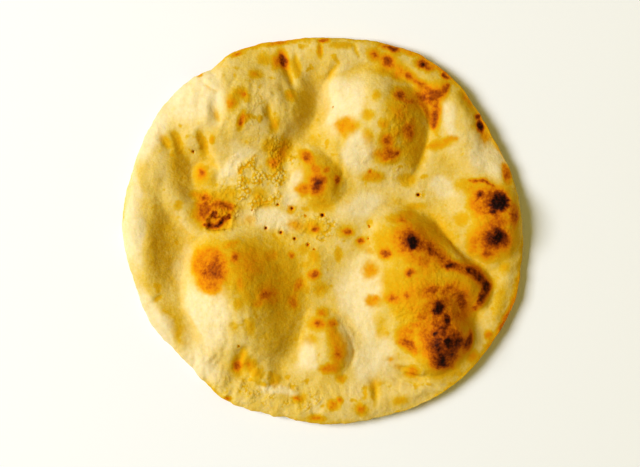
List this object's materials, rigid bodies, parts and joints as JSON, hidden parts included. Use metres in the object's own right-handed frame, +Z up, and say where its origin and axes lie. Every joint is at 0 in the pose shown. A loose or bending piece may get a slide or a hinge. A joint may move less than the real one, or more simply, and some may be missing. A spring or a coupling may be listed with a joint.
{
  "type": "naan bread",
  "caption": "Round, hand-stretched oven-baked flatbread with steam blisters, a rolled rim and scorched spots, lying flat.",
  "frame": {"origin": "on the resting plane, under the middle of the bread's outline", "axes": "+Z up through the bread, +X along its longest width, +Y towards the back edge"},
  "size_m": [0.2652, 0.2558, 0.0263],
  "materials": {
    "baked_crust": "matt baked wheat dough, pale cream with gold, brown and black scorch marks"
  },
  "bodies": {
    "root": {"naan": "baked_crust"}
  },
  "joints": []
}
